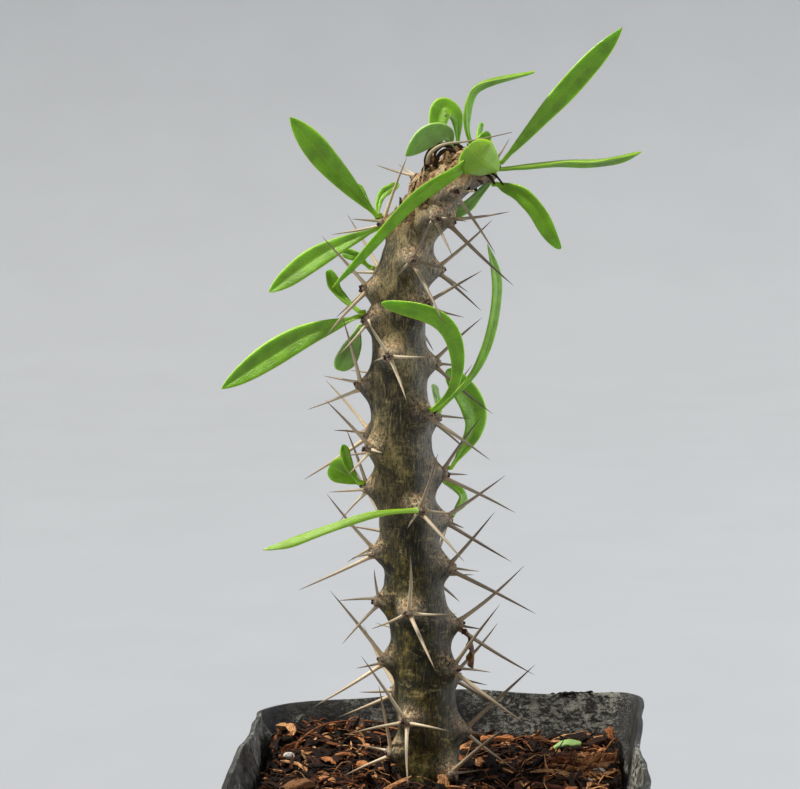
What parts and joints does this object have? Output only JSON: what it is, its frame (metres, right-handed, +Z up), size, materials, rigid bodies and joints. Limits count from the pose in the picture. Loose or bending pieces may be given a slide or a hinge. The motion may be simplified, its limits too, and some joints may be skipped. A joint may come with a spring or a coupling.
{
  "type": "potted didierea",
  "caption": "Young spiny succulent stem with narrow green leaves, leaning a little, rooted in potting mix in a soft black square nursery pot.",
  "frame": {"origin": "centre of the pot's underside, on the surface it stands on", "axes": "+Z up along the stem, -Y is the front, +X is to the right seen from the front"},
  "size_m": [0.0978, 0.0936, 0.2467],
  "materials": {
    "pot_plastic": "soft black nursery plastic, matt, with pale mineral deposit in streaks on its inner walls",
    "potting_mix": "dark reddish-brown mix of coir fibre, bark and peat, matt and damp",
    "stem_skin": "grey-brown to olive succulent bark, fine vertical cracks and dark specks, a pale bloom on the tubercles, ivory to tan spines",
    "leaf_green": "thick fresh green leaf, smooth and waxy, a channel along the midrib, paler below",
    "dried_leaf": "withered brown leaf, dry and matt",
    "bark": "rough orange-brown bark and coir chips",
    "stone": "small rough pale stones"
  },
  "bodies": {
    "root": {"bark_chip_1": "bark", "bark_chip_10": "bark", "bark_chip_2": "bark", "bark_chip_3": "bark", "bark_chip_4": "bark", "bark_chip_5": "bark", "bark_chip_6": "bark", "bark_chip_7": "bark", "bark_chip_8": "bark", "bark_chip_9": "bark", "dried_leaf": "dried_leaf", "grey_stone_1": "stone", "grey_stone_2": "stone", "leaf_01": "leaf_green", "leaf_02": "leaf_green", "leaf_03": "leaf_green", "leaf_04": "leaf_green", "leaf_05": "leaf_green", "leaf_06": "leaf_green", "leaf_07": "leaf_green", "leaf_08": "leaf_green", "leaf_09": "leaf_green", "leaf_10": "leaf_green", "leaf_11": "leaf_green", "leaf_12": "leaf_green", "leaf_13": "leaf_green", "leaf_14": "leaf_green", "leaf_15": "leaf_green", "leaf_16": "leaf_green", "leaf_17": "leaf_green", "leaf_18": "leaf_green", "leaf_19": "leaf_green", "leaf_20": "leaf_green", "leaf_21": "leaf_green", "leaf_22": "leaf_green", "leaf_23": "leaf_green", "leaf_24": "leaf_green", "leaf_25": "leaf_green", "leaf_26": "leaf_green", "leaf_27": "leaf_green", "pot": "pot_plastic", "potting_mix": "potting_mix", "shed_leaf": "leaf_green", "stem": "stem_skin", "white_stone": "stone"}
  },
  "joints": []
}
